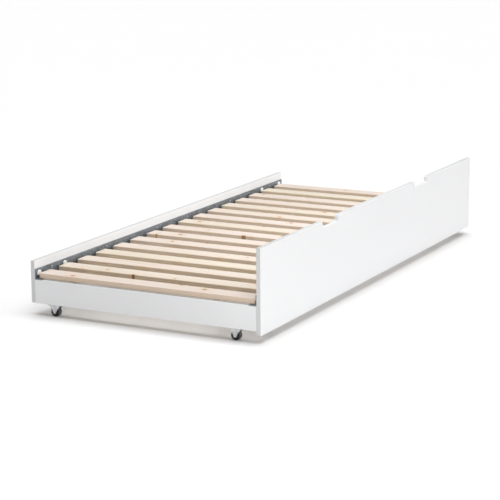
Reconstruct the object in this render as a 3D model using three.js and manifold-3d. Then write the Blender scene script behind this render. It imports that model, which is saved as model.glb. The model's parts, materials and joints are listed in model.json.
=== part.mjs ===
// Trundle bed: an open board frame on four fixed castors, with a roll of pine slats lying on
// two steel angle rails. Millimetres, +Z up. The origin is on the floor under the middle of
// the bed, +X runs along its length and the tall front panel is on the -Y side.
import * as THREE from 'three';
import { mergeVertices } from 'three/addons/utils/BufferGeometryUtils.js';
import Module from 'manifold-3d';

const wasm = await Module();
wasm.setup();

// ---------------------------------------------------------------- driving dimensions
const GAP = 0.3; // clearance kept between touching pieces

const BED_LENGTH = 2000;
const INNER_WIDTH = 900; // between the long panels, for a 90 cm wide mattress
const BOARD = 16; // thickness of every panel

const FRAME_BOTTOM = 46; // underside of the rear and end panels above the floor
const FRONT_BOTTOM = 30;
const FRONT_TOP = 336;
const REAR_TOP = 202;
const END_TOP = 134.7;
const EDGE_BREAK = 0.8; // arris taken off the long edges of the panels

const GRIP_CENTRE = 438; // each hand grip's distance from the middle of the bed
const GRIP_WIDTH = 134;
const GRIP_DEPTH = 25;
const GRIP_ROUND = 12;

const RAIL_LENGTH = 1998;
const RAIL_BOTTOM = 133;
const RAIL_HEIGHT = 38.5;
const RAIL_LEDGE = 30;
const RAIL_STEEL = 3;

const SLAT_COUNT = 16;
const SLAT_PITCH = 126;
const SLAT_SIZE = { width: 70, length: 876, thickness: 20 };
const SLAT_FIRST_X = -954;
const SLAT_Y = -1; // the slats' middle, a little towards the front rail
const SLAT_ROUND = 3;

const STRAP_SIZE = { width: 25, thickness: 1.2 };
const STRAP_Y = 290;

const STOP_SIZE = { length: 22, thickness: 6, height: 18 };
const STOP_BOTTOM = 148;
const STOP_OFFSET = { outward: 25, inward: 17 }; // from the slat's middle line

const BATTEN_SIZE = { width: 40, height: 30 };

const CASTOR_INSET = 24; // wheel centre to the bed's end face
const CASTOR_Y = { front: -361, rear: 376 };
const PLATE_SIZE = { width: 42, length: 54, thickness: 2, corner: 4 };
const FORK_OUTER = 26;
const FORK_STEEL = 2;
const FORK_TIP = 6.5;
const FORK_WAIST = { halfWidth: 9.4, z: 24 }; // where the leg starts to flare
const FORK_FLARE = { halfWidth: 15, z: 32.6 }; // the flare's control point
const WHEEL_RADIUS = 17.5;
const WHEEL_WIDTH = 20;
const TYRE_BORE = 11.5;
const TYRE_FACETS = 32;
const TYRE_SHOULDER = 2;
const TYRE_LIP = 1; // the tyre is thinner by this on each side at its bore
const HUB_BOSS = 5; // radius of the boss that keeps the wheel off the fork
const AXLE_RADIUS = 2.4;
const AXLE_BORE = 2.8;
const RIVET_HEAD = { radius: 4, crown: 3, thickness: 1.2 };

const CAM_RADIUS = 7.5;
const CAM_DEPTH = 12.5;
const CAM_Z = 108;
const CAM_CROSS = { depth: 2.5, long: 8, wide: 2 }; // driver recess
const CAM_FROM_EDGE = 24; // cam axis to the long panel's inner face
const BOLT_RADIUS = 3;
const BOLT_BITE = 11; // how far the bolt goes into the long panel

// ---------------------------------------------------------------- derived levels
const HALF_LENGTH = BED_LENGTH / 2;
const HALF_INNER = INNER_WIDTH / 2;
const SLAT_BOTTOM = RAIL_BOTTOM + RAIL_STEEL + GAP;
const RAIL_BACK = HALF_INNER - GAP; // the rails' outer faces, against the long panels
const END_HALF = HALF_INNER - GAP; // half the end panels' length

const WHITE_PAINT = { color: 0xf2f2f3, roughness: 0.42, metalness: 0 };
const PINE = { color: 0xe6d3b5, roughness: 0.62, metalness: 0 };
const GREY_STEEL = { color: 0x8d9499, roughness: 0.45, metalness: 0.8 };
const ZINC = { color: 0xb9bcbf, roughness: 0.38, metalness: 0.85 };
const WHITE_NYLON = { color: 0xf7f7f4, roughness: 0.4, metalness: 0 };
const WEBBING = { color: 0xe9e6dd, roughness: 0.9, metalness: 0 };
const BLACK_TYRE = { color: 0x1c1c1e, roughness: 0.7, metalness: 0 };
const DARK_NYLON = { color: 0x2b2b2d, roughness: 0.5, metalness: 0 };

// ---------------------------------------------------------------- solid helpers
function toSolid(geometry) {
  const bare = geometry.clone();
  bare.deleteAttribute('normal');
  bare.deleteAttribute('uv');
  const merged = mergeVertices(bare, 1e-4);
  return new wasm.Manifold(new wasm.Mesh({
    numProp: 3,
    vertProperties: new Float32Array(merged.attributes.position.array),
    triVerts: new Uint32Array(merged.index.array),
  }));
}

function toGeometry(solid) {
  const mesh = solid.getMesh();
  const geometry = new THREE.BufferGeometry();
  geometry.setAttribute('position', new THREE.BufferAttribute(mesh.vertProperties, 3));
  geometry.setIndex(new THREE.BufferAttribute(mesh.triVerts, 1));
  geometry.computeVertexNormals();
  return geometry;
}

function named(name, geometry, finish, position = [0, 0, 0]) {
  const mesh = new THREE.Mesh(geometry, new THREE.MeshStandardMaterial(finish));
  mesh.name = name;
  mesh.position.set(...position);
  return mesh;
}

function extrude(shape, depth, curveSegments = 6) {
  return new THREE.ExtrudeGeometry(shape, { depth, bevelEnabled: false, curveSegments });
}

// A rectangle in the shape's own plane, centred, with all four corners rounded.
function roundedRectangle(width, height, radius) {
  const [x, y] = [width / 2, height / 2];
  const shape = new THREE.Shape();
  shape.moveTo(-x + radius, -y);
  shape.lineTo(x - radius, -y);
  shape.absarc(x - radius, -y + radius, radius, -Math.PI / 2, 0);
  shape.lineTo(x, y - radius);
  shape.absarc(x - radius, y - radius, radius, 0, Math.PI / 2);
  shape.lineTo(-x + radius, y);
  shape.absarc(-x + radius, y - radius, radius, Math.PI / 2, Math.PI);
  shape.lineTo(-x, -y + radius);
  shape.absarc(-x + radius, -y + radius, radius, Math.PI, 1.5 * Math.PI);
  return shape;
}

// A turned solid about the X axis, from a closed [radius, x] profile.
function turnedAboutX(profile, segments) {
  const points = profile.map(([radius, x]) => new THREE.Vector2(radius, x));
  const geometry = new THREE.LatheGeometry(points, segments);
  geometry.rotateZ(-Math.PI / 2);
  return geometry;
}

// A plain round bar along X or Y, centred on the origin.
function roundBar(axis, radius, length, segments = 16) {
  const geometry = new THREE.CylinderGeometry(radius, radius, length, segments);
  if (axis === 'x') geometry.rotateZ(Math.PI / 2);
  return geometry;
}

// ---------------------------------------------------------------- long panels
// Outline in X and Z, drawn anticlockwise from the bottom left corner, with both hand grips.
function frontOutline() {
  const shape = new THREE.Shape();
  const gripFloor = FRONT_TOP - GRIP_DEPTH;
  const r = GRIP_ROUND;
  shape.moveTo(-HALF_LENGTH, FRONT_BOTTOM);
  shape.lineTo(HALF_LENGTH, FRONT_BOTTOM);
  shape.lineTo(HALF_LENGTH, FRONT_TOP);
  for (const centre of [GRIP_CENTRE, -GRIP_CENTRE]) {
    const right = centre + GRIP_WIDTH / 2;
    const left = centre - GRIP_WIDTH / 2;
    shape.lineTo(right + r, FRONT_TOP);
    shape.absarc(right + r, FRONT_TOP - r, r, Math.PI / 2, Math.PI);
    shape.absarc(right - r, gripFloor + r, r, 0, -Math.PI / 2, true);
    shape.absarc(left + r, gripFloor + r, r, -Math.PI / 2, -Math.PI, true);
    shape.absarc(left - r, FRONT_TOP - r, r, 0, Math.PI / 2);
  }
  shape.lineTo(-HALF_LENGTH, FRONT_TOP);
  return shape;
}

function rearOutline() {
  const shape = new THREE.Shape();
  shape.moveTo(-HALF_LENGTH, FRAME_BOTTOM);
  shape.lineTo(HALF_LENGTH, FRAME_BOTTOM);
  shape.lineTo(HALF_LENGTH, REAR_TOP);
  shape.lineTo(-HALF_LENGTH, REAR_TOP);
  return shape;
}

// A board standing on edge: the outline lies in XZ and the thickness runs along Y. The small
// arris round both faces comes from the extrusion's bevel.
function standingBoard(outline) {
  const geometry = new THREE.ExtrudeGeometry(outline, {
    depth: BOARD - 2 * EDGE_BREAK,
    bevelEnabled: true,
    bevelThickness: EDGE_BREAK,
    bevelSize: EDGE_BREAK,
    bevelOffset: -EDGE_BREAK,
    bevelSegments: 1,
    curveSegments: 3,
  });
  geometry.translate(0, 0, EDGE_BREAK);
  geometry.rotateX(Math.PI / 2);
  geometry.translate(0, BOARD, 0);
  return geometry;
}

// Blind holes in a long panel's inner face for the bolts of the corner cams.
function drilledForBolts(board, innerFaceY) {
  let solid = toSolid(board);
  for (const side of [-1, 1]) {
    const hole = roundBar('y', BOLT_RADIUS + GAP, 2 * (BOLT_BITE + GAP));
    hole.translate(side * (HALF_LENGTH - BOARD / 2), innerFaceY, CAM_Z);
    solid = solid.subtract(toSolid(hole));
  }
  return toGeometry(solid);
}

function longPanels() {
  const front = standingBoard(frontOutline());
  front.translate(0, -HALF_INNER - BOARD, 0);
  const rear = standingBoard(rearOutline());
  rear.translate(0, HALF_INNER, 0);
  return [
    named('front_panel', drilledForBolts(front, -HALF_INNER), WHITE_PAINT),
    named('rear_panel', drilledForBolts(rear, HALF_INNER), WHITE_PAINT),
  ];
}

// ---------------------------------------------------------------- end panels and battens
// Outline in Y (across) and Z (up). The rails pass through the steps in the top corners.
function endOutline() {
  const stepY = RAIL_BACK - RAIL_LEDGE - GAP;
  const stepZ = RAIL_BOTTOM - GAP;
  const shape = new THREE.Shape();
  shape.moveTo(-END_HALF, FRAME_BOTTOM);
  shape.lineTo(END_HALF, FRAME_BOTTOM);
  shape.lineTo(END_HALF, stepZ);
  shape.lineTo(stepY, stepZ);
  shape.lineTo(stepY, END_TOP);
  shape.lineTo(-stepY, END_TOP);
  shape.lineTo(-stepY, stepZ);
  shape.lineTo(-END_HALF, stepZ);
  return shape;
}

// side is -1 for the near end and 1 for the far end.
function endPanel(side) {
  const board = extrude(endOutline(), BOARD);
  board.rotateX(Math.PI / 2);
  board.rotateZ(Math.PI / 2);
  board.translate(side * (HALF_LENGTH - BOARD / 2) - BOARD / 2, 0, 0);
  let solid = toSolid(board);
  for (const across of [-1, 1]) {
    const pocket = roundBar('x', CAM_RADIUS + GAP, 2 * (CAM_DEPTH + GAP), 20);
    pocket.translate(side * (HALF_LENGTH - BOARD), across * camY(), CAM_Z);
    const channel = roundBar('y', BOLT_RADIUS + GAP, CAM_FROM_EDGE);
    channel.translate(side * (HALF_LENGTH - BOARD / 2), across * (camY() + CAM_FROM_EDGE / 2), CAM_Z);
    solid = solid.subtract(toSolid(pocket)).subtract(toSolid(channel));
  }
  return toGeometry(solid);
}

function camY() {
  return HALF_INNER - CAM_FROM_EDGE;
}

function batten(side) {
  const length = 2 * END_HALF;
  const box = new THREE.BoxGeometry(BATTEN_SIZE.width, length, BATTEN_SIZE.height);
  const x = side * (HALF_LENGTH - BOARD - GAP - BATTEN_SIZE.width / 2);
  box.translate(x, 0, FRAME_BOTTOM + BATTEN_SIZE.height / 2);
  return box;
}

function ends() {
  return [['near', -1], ['far', 1]].flatMap(([word, side]) => [
    named(`end_panel_${word}`, endPanel(side), WHITE_PAINT),
    named(`castor_batten_${word}`, batten(side), PINE),
  ]);
}

// ---------------------------------------------------------------- corner cams and bolts
// A cast disc with a cross recess in its visible face, pointing out of the end panel.
function camDisc(side) {
  let solid = toSolid(roundBar('x', CAM_RADIUS, CAM_DEPTH, 20));
  const { depth, long, wide } = CAM_CROSS;
  for (const [y, z] of [[long, wide], [wide, long]]) {
    const slot = new THREE.BoxGeometry(2 * depth, y, z);
    slot.translate(-side * CAM_DEPTH / 2, 0, 0);
    solid = solid.subtract(toSolid(slot));
  }
  // the eye that takes the bolt's head, open towards the nearest long panel
  const eye = roundBar('y', BOLT_RADIUS + GAP, CAM_RADIUS, 16);
  eye.translate(side * (BOARD - CAM_DEPTH) / 2, CAM_RADIUS, 0);
  return solid.subtract(toSolid(eye));
}

function cornerFitting(word, side, edge, across) {
  const disc = camDisc(side);
  const turned = across > 0 ? disc : disc.mirror([0, 1, 0]);
  const discX = side * (HALF_LENGTH - BOARD + CAM_DEPTH / 2);
  const boltFrom = camY() + CAM_RADIUS / 2 + 2 * GAP;
  const boltTo = HALF_INNER + BOLT_BITE;
  const bolt = roundBar('y', BOLT_RADIUS, boltTo - boltFrom, 16);
  return [
    named(`cam_${word}_${edge}`, toGeometry(turned), ZINC, [discX, across * camY(), CAM_Z]),
    named(`cam_bolt_${word}_${edge}`, bolt, ZINC,
      [side * (HALF_LENGTH - BOARD / 2), across * (boltFrom + boltTo) / 2, CAM_Z]),
  ];
}

// ---------------------------------------------------------------- rails
// A steel angle: the upright lies against the long panel and the ledge carries the slats.
function rail(across) {
  const shape = new THREE.Shape();
  shape.moveTo(0, 0);
  shape.lineTo(RAIL_LEDGE, 0);
  shape.lineTo(RAIL_LEDGE, RAIL_STEEL);
  shape.lineTo(RAIL_STEEL, RAIL_STEEL);
  shape.lineTo(RAIL_STEEL, RAIL_HEIGHT);
  shape.lineTo(0, RAIL_HEIGHT);
  const geometry = extrude(shape, RAIL_LENGTH);
  geometry.rotateX(Math.PI / 2);
  geometry.rotateZ(Math.PI / 2);
  geometry.translate(-RAIL_LENGTH / 2, 0, 0);
  if (across > 0) geometry.rotateZ(Math.PI);
  geometry.translate(0, across * RAIL_BACK, RAIL_BOTTOM);
  return geometry;
}

function rails() {
  return [
    named('front_rail', rail(-1), GREY_STEEL),
    named('rear_rail', rail(1), GREY_STEEL),
  ];
}

// ---------------------------------------------------------------- slats, straps, stops
function slatX(index) {
  return SLAT_FIRST_X + index * SLAT_PITCH;
}

function slats() {
  const section = roundedRectangle(SLAT_SIZE.width, SLAT_SIZE.thickness, SLAT_ROUND);
  return Array.from({ length: SLAT_COUNT }, (_, index) => {
    const geometry = extrude(section, SLAT_SIZE.length, 1);
    geometry.translate(0, 0, -SLAT_SIZE.length / 2);
    geometry.rotateX(Math.PI / 2);
    const name = `slat_${String(index + 1).padStart(2, '0')}`;
    const z = SLAT_BOTTOM + SLAT_SIZE.thickness / 2;
    return named(name, geometry, PINE, [slatX(index), SLAT_Y, z]);
  });
}

// Webbing stapled along the underside of every slat, which keeps the roll evenly spaced.
function straps() {
  const length = (SLAT_COUNT - 1) * SLAT_PITCH + SLAT_SIZE.width - 2 * SLAT_ROUND;
  const middle = (slatX(0) + slatX(SLAT_COUNT - 1)) / 2;
  const z = SLAT_BOTTOM - GAP - STRAP_SIZE.thickness / 2;
  return [['front', -1], ['rear', 1]].map(([word, across]) => {
    const box = new THREE.BoxGeometry(length, STRAP_SIZE.width, STRAP_SIZE.thickness);
    return named(`strap_${word}`, box, WEBBING, [middle, across * STRAP_Y, z]);
  });
}

// A moulded stop with a domed top. It sits on the rail's upright beside the end of a slat.
function stopGeometry() {
  const half = STOP_SIZE.length / 2;
  const shape = new THREE.Shape();
  shape.moveTo(-half, 0);
  shape.lineTo(half, 0);
  shape.lineTo(half, STOP_SIZE.height - half);
  shape.absarc(0, STOP_SIZE.height - half, half, 0, Math.PI);
  const geometry = extrude(shape, STOP_SIZE.thickness, 8);
  geometry.translate(0, 0, -STOP_SIZE.thickness / 2);
  geometry.rotateX(Math.PI / 2);
  return geometry;
}

// Each end pair of slats is held by stops: outwards of the end slat and inwards of the next.
function stops() {
  const { outward, inward } = STOP_OFFSET;
  const last = SLAT_COUNT - 1;
  const pinned = [[0, -outward], [1, inward], [last - 1, -inward], [last, outward]];
  const y = RAIL_BACK - RAIL_STEEL - GAP - STOP_SIZE.thickness / 2;
  return pinned.flatMap(([index, offset]) => [['front', -1], ['rear', 1]].map(([word, across]) => {
    const name = `slat_stop_${String(index + 1).padStart(2, '0')}_${word}`;
    const x = slatX(index) + offset;
    return named(name, stopGeometry(), WHITE_NYLON, [x, across * y, STOP_BOTTOM]);
  }));
}

// ---------------------------------------------------------------- castors
// Outline of one fork leg in Y and Z: it flares from a narrow waist to the plate's full length.
function legOutline() {
  const top = FRAME_BOTTOM - GAP - PLATE_SIZE.thickness / 2;
  const half = PLATE_SIZE.length / 2;
  const { halfWidth: waist, z } = FORK_WAIST;
  const { halfWidth: flare, z: flareZ } = FORK_FLARE;
  const rise = z - WHEEL_RADIUS;
  const tangent = Math.acos(FORK_TIP / Math.hypot(waist, rise)) - Math.atan2(rise, waist);
  const shape = new THREE.Shape();
  shape.moveTo(half, top);
  shape.quadraticCurveTo(flare, flareZ, waist, z);
  shape.absarc(0, WHEEL_RADIUS, FORK_TIP, -tangent, -Math.PI + tangent, true);
  shape.lineTo(-waist, z);
  shape.quadraticCurveTo(-flare, flareZ, -half, top);
  return shape;
}

function forkGeometry() {
  const plateTop = FRAME_BOTTOM - GAP;
  const outline = roundedRectangle(PLATE_SIZE.width, PLATE_SIZE.length, PLATE_SIZE.corner);
  const plate = extrude(outline, PLATE_SIZE.thickness, 2);
  plate.translate(0, 0, plateTop - PLATE_SIZE.thickness);
  let solid = toSolid(plate);
  for (const side of [-1, 1]) {
    const leg = extrude(legOutline(), FORK_STEEL, 5);
    leg.rotateX(Math.PI / 2);
    leg.rotateZ(Math.PI / 2);
    leg.translate(side * (FORK_OUTER - FORK_STEEL) / 2 - FORK_STEEL / 2, 0, 0);
    solid = solid.add(toSolid(leg));
  }
  const bore = roundBar('x', AXLE_BORE, 2 * FORK_OUTER, 16);
  bore.translate(0, 0, WHEEL_RADIUS);
  return toGeometry(solid.subtract(toSolid(bore)));
}

// The tyre stands on a flat facet, so its corner radius is larger than the rolling radius.
function tyreGeometry() {
  const stretch = 1 / Math.cos(Math.PI / TYRE_FACETS);
  const half = WHEEL_WIDTH / 2;
  const round = TYRE_SHOULDER * (1 - Math.SQRT1_2); // the shoulder arc's middle, in from the corner
  const profile = [
    [TYRE_BORE, -half + TYRE_LIP],
    [TYRE_BORE + TYRE_LIP, -half],
    [WHEEL_RADIUS - TYRE_SHOULDER, -half],
    [WHEEL_RADIUS - round, -half + round],
    [WHEEL_RADIUS, -half + TYRE_SHOULDER],
    [WHEEL_RADIUS, half - TYRE_SHOULDER],
    [WHEEL_RADIUS - round, half - round],
    [WHEEL_RADIUS - TYRE_SHOULDER, half],
    [TYRE_BORE + TYRE_LIP, half],
    [TYRE_BORE, half - TYRE_LIP],
    [TYRE_BORE, -half + TYRE_LIP],
  ].map(([radius, x]) => [radius * stretch, x]);
  const geometry = turnedAboutX(profile, TYRE_FACETS);
  geometry.rotateX(Math.PI / TYRE_FACETS);
  return geometry;
}

function hubGeometry() {
  const half = WHEEL_WIDTH / 2;
  const boss = FORK_OUTER / 2 - FORK_STEEL - GAP;
  const rim = TYRE_BORE - GAP;
  const web = half - TYRE_LIP;
  const profile = [
    [AXLE_BORE, -boss],
    [HUB_BOSS, -boss],
    [HUB_BOSS, -web],
    [rim, -web],
    [rim, web],
    [HUB_BOSS, web],
    [HUB_BOSS, boss],
    [AXLE_BORE, boss],
    [AXLE_BORE, -boss],
  ];
  return turnedAboutX(profile, 20);
}

// A rivet with a shallow head outside each leg.
function axleGeometry() {
  const inner = FORK_OUTER / 2 + GAP;
  const outer = inner + RIVET_HEAD.thickness;
  const profile = [
    [0, -outer],
    [RIVET_HEAD.crown, -outer],
    [RIVET_HEAD.radius, -inner],
    [AXLE_RADIUS, -inner],
    [AXLE_RADIUS, inner],
    [RIVET_HEAD.radius, inner],
    [RIVET_HEAD.crown, outer],
    [0, outer],
  ];
  return turnedAboutX(profile, 12);
}

function castor(word, side, edge, y) {
  const group = new THREE.Group();
  const x = side * (HALF_LENGTH - CASTOR_INSET);
  const label = `${word}_${edge}`;
  group.add(
    named(`castor_fork_${label}`, forkGeometry(), ZINC, [x, y, 0]),
    named(`castor_axle_${label}`, axleGeometry(), ZINC, [x, y, WHEEL_RADIUS]),
    named(`wheel_hub_${label}`, hubGeometry(), DARK_NYLON, [x, y, WHEEL_RADIUS]),
    named(`wheel_tyre_${label}`, tyreGeometry(), BLACK_TYRE, [x, y, WHEEL_RADIUS]),
  );
  return group;
}

// ---------------------------------------------------------------- the bed
const bed = new THREE.Group();
bed.add(...longPanels(), ...ends(), ...rails(), ...slats(), ...straps(), ...stops());
for (const [word, side] of [['near', -1], ['far', 1]]) {
  for (const [edge, across] of [['front', -1], ['rear', 1]]) {
    bed.add(...cornerFitting(word, side, edge, across));
    bed.add(castor(word, side, edge, CASTOR_Y[edge]));
  }
}

export default bed;
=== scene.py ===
"""Trundle bed: the finished look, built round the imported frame.

Metres, +Z up, +X along the bed and the tall front panel on the -Y side. Every piece takes its
place from the frame's nodes, and each class holds the sizes of its own details.
"""

from __future__ import annotations

import json
import logging
import math
import random
from dataclasses import dataclass, field
from enum import Enum
from typing import Iterable, Mapping, Sequence, Union

import bmesh
import bpy
from mathutils import Matrix, Vector


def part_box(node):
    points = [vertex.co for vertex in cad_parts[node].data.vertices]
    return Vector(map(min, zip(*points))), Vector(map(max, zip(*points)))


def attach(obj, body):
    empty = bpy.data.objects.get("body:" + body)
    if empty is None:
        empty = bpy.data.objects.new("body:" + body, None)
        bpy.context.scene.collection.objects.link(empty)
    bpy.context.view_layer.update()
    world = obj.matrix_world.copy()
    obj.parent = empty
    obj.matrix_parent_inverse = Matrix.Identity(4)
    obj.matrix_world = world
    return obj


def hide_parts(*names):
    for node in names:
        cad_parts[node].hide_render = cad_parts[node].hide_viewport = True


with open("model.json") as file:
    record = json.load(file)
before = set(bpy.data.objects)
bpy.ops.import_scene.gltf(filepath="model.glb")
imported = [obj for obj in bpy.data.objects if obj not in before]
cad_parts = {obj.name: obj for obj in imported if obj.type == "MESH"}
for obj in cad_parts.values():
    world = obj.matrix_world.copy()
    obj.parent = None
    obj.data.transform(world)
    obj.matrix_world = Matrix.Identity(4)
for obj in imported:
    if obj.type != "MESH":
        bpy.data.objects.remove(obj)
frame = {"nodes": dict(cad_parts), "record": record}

LOG = logging.getLogger("trundle_bed")
BED_BODY = "bed"
SEED = 41
MM = 0.001

EDGE_COAT_AND_SHADE = {"top": 1.0, "end": 0.75, "grip": 0.6}  # how far each edge is from full paint: partly a thinner coat on sawn edges, partly painted shade that darkens upward faces most
EDGE_COAT_REACH = 2 * MM
EDGE_COAT_ONSET = 1.6  # how fast the thin coat and its painted shade set in as an arris turns away from the face
CREASE = math.radians(32.0)  # edges that turn by more than this stay sharp

Point2 = tuple[float, float]
Corners = tuple[Vector, Vector]
Ring = list[bmesh.types.BMVert]


class Slot(Enum):
    """The record's material slots."""

    WHITE_PAINT = "white_paint"
    PINE = "pine"
    RAIL_STEEL = "rail_steel"
    ZINC_PLATE = "zinc_plate"
    WHITE_NYLON = "white_nylon"
    WEBBING = "webbing"
    DARK_NYLON = "dark_nylon"
    BLACK_TYRE = "black_tyre"


class Plane(Enum):
    """The plane that an outline is drawn in. Each value lists the axes of u, v and thickness."""

    XZ = (0, 2, 1)
    YZ = (1, 2, 0)
    XY = (0, 1, 2)


class Cut(Enum):
    """How two solids are combined."""

    AWAY = "DIFFERENCE"
    TOGETHER = "UNION"
    COMMON = "INTERSECT"


# ------------------------------------------------------------------------------ shader values
class Wire:
    """One node output, used as a number in an expression. Each operator adds a Math node."""

    def __init__(self, shop: NodeShop, socket: bpy.types.NodeSocket) -> None:
        """Wraps the socket of a node that the shop has made."""
        self.shop = shop
        self.socket = socket

    def _math(self, operation: str, first: Value, second: Value = 0.0) -> Wire:
        """Returns the result of one Math node."""
        return self.shop.wire("ShaderNodeMath", {"operation": operation}, {0: first, 1: second})

    def __add__(self, other: Value) -> Wire:
        """Returns self + other."""
        return self._math("ADD", self, other)

    def __radd__(self, other: Value) -> Wire:
        """Returns other + self."""
        return self._math("ADD", other, self)

    def __sub__(self, other: Value) -> Wire:
        """Returns self - other."""
        return self._math("SUBTRACT", self, other)

    def __rsub__(self, other: Value) -> Wire:
        """Returns other - self."""
        return self._math("SUBTRACT", other, self)

    def __mul__(self, other: Value) -> Wire:
        """Returns self * other."""
        return self._math("MULTIPLY", self, other)

    def __rmul__(self, other: Value) -> Wire:
        """Returns other * self."""
        return self._math("MULTIPLY", other, self)

    def __truediv__(self, other: Value) -> Wire:
        """Returns self / other."""
        return self._math("DIVIDE", self, other)

    def __rtruediv__(self, other: Value) -> Wire:
        """Returns other / self."""
        return self._math("DIVIDE", other, self)

    def __pow__(self, other: Value) -> Wire:
        """Returns self ** other."""
        return self._math("POWER", self, other)

    def root(self) -> Wire:
        """Returns the square root."""
        return self._math("SQRT", self)

    def fraction(self) -> Wire:
        """Returns the part after the decimal point."""
        return self._math("FRACT", self)

    def wave(self) -> Wire:
        """Returns the sine, moved into the range 0 to 1."""
        return self._math("SINE", self) * 0.5 + 0.5

    def size(self) -> Wire:
        """Returns the absolute value."""
        return self._math("ABSOLUTE", self)

    def step(self, low: Value, high: Value) -> Wire:
        """Returns a smooth step.

        Args:
            low: where the result is 0.
            high: where the result is 1. It may be less than low, which turns the step round.

        Returns:
            The smoothed value, from 0 to 1.
        """
        return self.shop.wire(
            "ShaderNodeMapRange",
            {"interpolation_type": "SMOOTHSTEP"},
            {"Value": self, "From Min": low, "From Max": high},
        )


Value = Union[Wire, float, Sequence[float]]


class NodeShop:
    """Makes the nodes of one material."""

    MIX_FACTOR, MIX_FIRST, MIX_SECOND, MIX_RESULT = 0, 6, 7, 2

    def __init__(self, material: bpy.types.Material) -> None:
        """Empties the material's node tree."""
        material.use_nodes = True
        self.tree = material.node_tree
        self.tree.nodes.clear()

    def node(
        self,
        kind: str,
        settings: Mapping[str, object] | None = None,
        sockets: Mapping[int | str, Value] | None = None,
    ) -> bpy.types.Node:
        """Adds any node.

        Args:
            kind: the node's type.
            settings: its properties, set first. "stops" holds a ramp's (position, colour) pairs.
            sockets: the value or link of each input, by name or number.

        Returns:
            The new node.
        """
        made = self.tree.nodes.new(kind)
        for name, value in (settings or {}).items():
            if name == "stops":
                self._set_stops(made.color_ramp, value)
            else:
                setattr(made, name, value)
        for key, value in (sockets or {}).items():
            if isinstance(value, Wire):
                self.tree.links.new(value.socket, made.inputs[key])
            else:
                made.inputs[key].default_value = value
        return made

    @staticmethod
    def _set_stops(ramp: bpy.types.ColorRamp, stops: Sequence[tuple[float, float]]) -> None:
        """Replaces a ramp's stops by (position, grey level) pairs."""
        while len(ramp.elements) < len(stops):
            ramp.elements.new(1.0)
        for element, (position, level) in zip(ramp.elements, stops):
            element.position = position
            element.color = (level, level, level, 1.0)

    def wire(
        self,
        kind: str,
        settings: Mapping[str, object] | None = None,
        sockets: Mapping[int | str, Value] | None = None,
        output: int | str = 0,
    ) -> Wire:
        """Adds a node, as node() does, and returns one of its outputs."""
        return Wire(self, self.node(kind, settings, sockets).outputs[output])

    def attribute(self, name: str) -> Wire:
        """Returns a named vector attribute of the mesh."""
        return self.wire("ShaderNodeAttribute", {"attribute_name": name}, output="Vector")

    def place(self) -> Wire:
        """Returns the point's place in the bed's own frame, which moves with the piece."""
        return self.wire("ShaderNodeTexCoord", output="Object")

    def vector(self, x: Value, y: Value, z: Value) -> Wire:
        """Returns a vector made of three numbers."""
        return self.wire("ShaderNodeCombineXYZ", None, {0: x, 1: y, 2: z})

    def parts(self, vector: Wire) -> tuple[Wire, Wire, Wire]:
        """Returns a vector's three numbers."""
        made = self.node("ShaderNodeSeparateXYZ", None, {0: vector})
        return tuple(Wire(self, output) for output in made.outputs)

    def spread(self, vector: Wire, factors: Sequence[float], shift: Wire | None = None) -> Wire:
        """Returns the vector times the factors, plus a shift."""
        made = self.wire("ShaderNodeVectorMath", {"operation": "MULTIPLY"}, {0: vector, 1: factors})
        if shift is None:
            return made
        return self.wire("ShaderNodeVectorMath", {"operation": "ADD"}, {0: made, 1: shift})

    def noise(self, vector: Wire, scale: float, detail: float = 2.0, rough: float = 0.5) -> Wire:
        """Returns a noise value, about 0.5 on average."""
        sockets = {"Vector": vector, "Scale": scale, "Detail": detail, "Roughness": rough}
        return self.wire("ShaderNodeTexNoise", None, sockets)

    def facing(self, axis: int) -> Wire:
        """Returns how squarely the surface looks along an axis of the bed, from 0 to 1."""
        normal = self.wire("ShaderNodeNewGeometry", output="True Normal")
        turned = self.wire(
            "ShaderNodeVectorTransform",
            {"vector_type": "NORMAL", "convert_from": "WORLD", "convert_to": "OBJECT"},
            {0: normal},
        )
        return self.parts(turned)[axis].size()

    def tinted(self, color: Value, tint: Sequence[float], factor: Value) -> Wire:
        """Returns the colour, multiplied by a tint where the factor is 1."""
        sockets = {self.MIX_FACTOR: factor, self.MIX_FIRST: color, self.MIX_SECOND: rgb(*tint)}
        settings = {"data_type": "RGBA", "blend_type": "MULTIPLY"}
        return self.wire("ShaderNodeMix", settings, sockets, self.MIX_RESULT)

    def blend(self, factor: Value, first: Value, second: Value) -> Wire:
        """Returns a colour between first, at factor 0, and second, at factor 1."""
        sockets = {self.MIX_FACTOR: factor, self.MIX_FIRST: first, self.MIX_SECOND: second}
        return self.wire("ShaderNodeMix", {"data_type": "RGBA"}, sockets, self.MIX_RESULT)


def rgb(red: float, green: float, blue: float) -> tuple[float, float, float, float]:
    """Returns an opaque linear colour."""
    return (red, green, blue, 1.0)


# ------------------------------------------------------------------------------ finishes
@dataclass
class Surface:
    """What a finish feeds to its shader: links where a value varies, numbers where it doesn't."""

    color: Value
    roughness: Value
    metallic: float = 0.0
    height: Wire | None = None
    relief: float = 0.0
    specular: float = 0.5
    coat: float = 0.0


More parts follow.
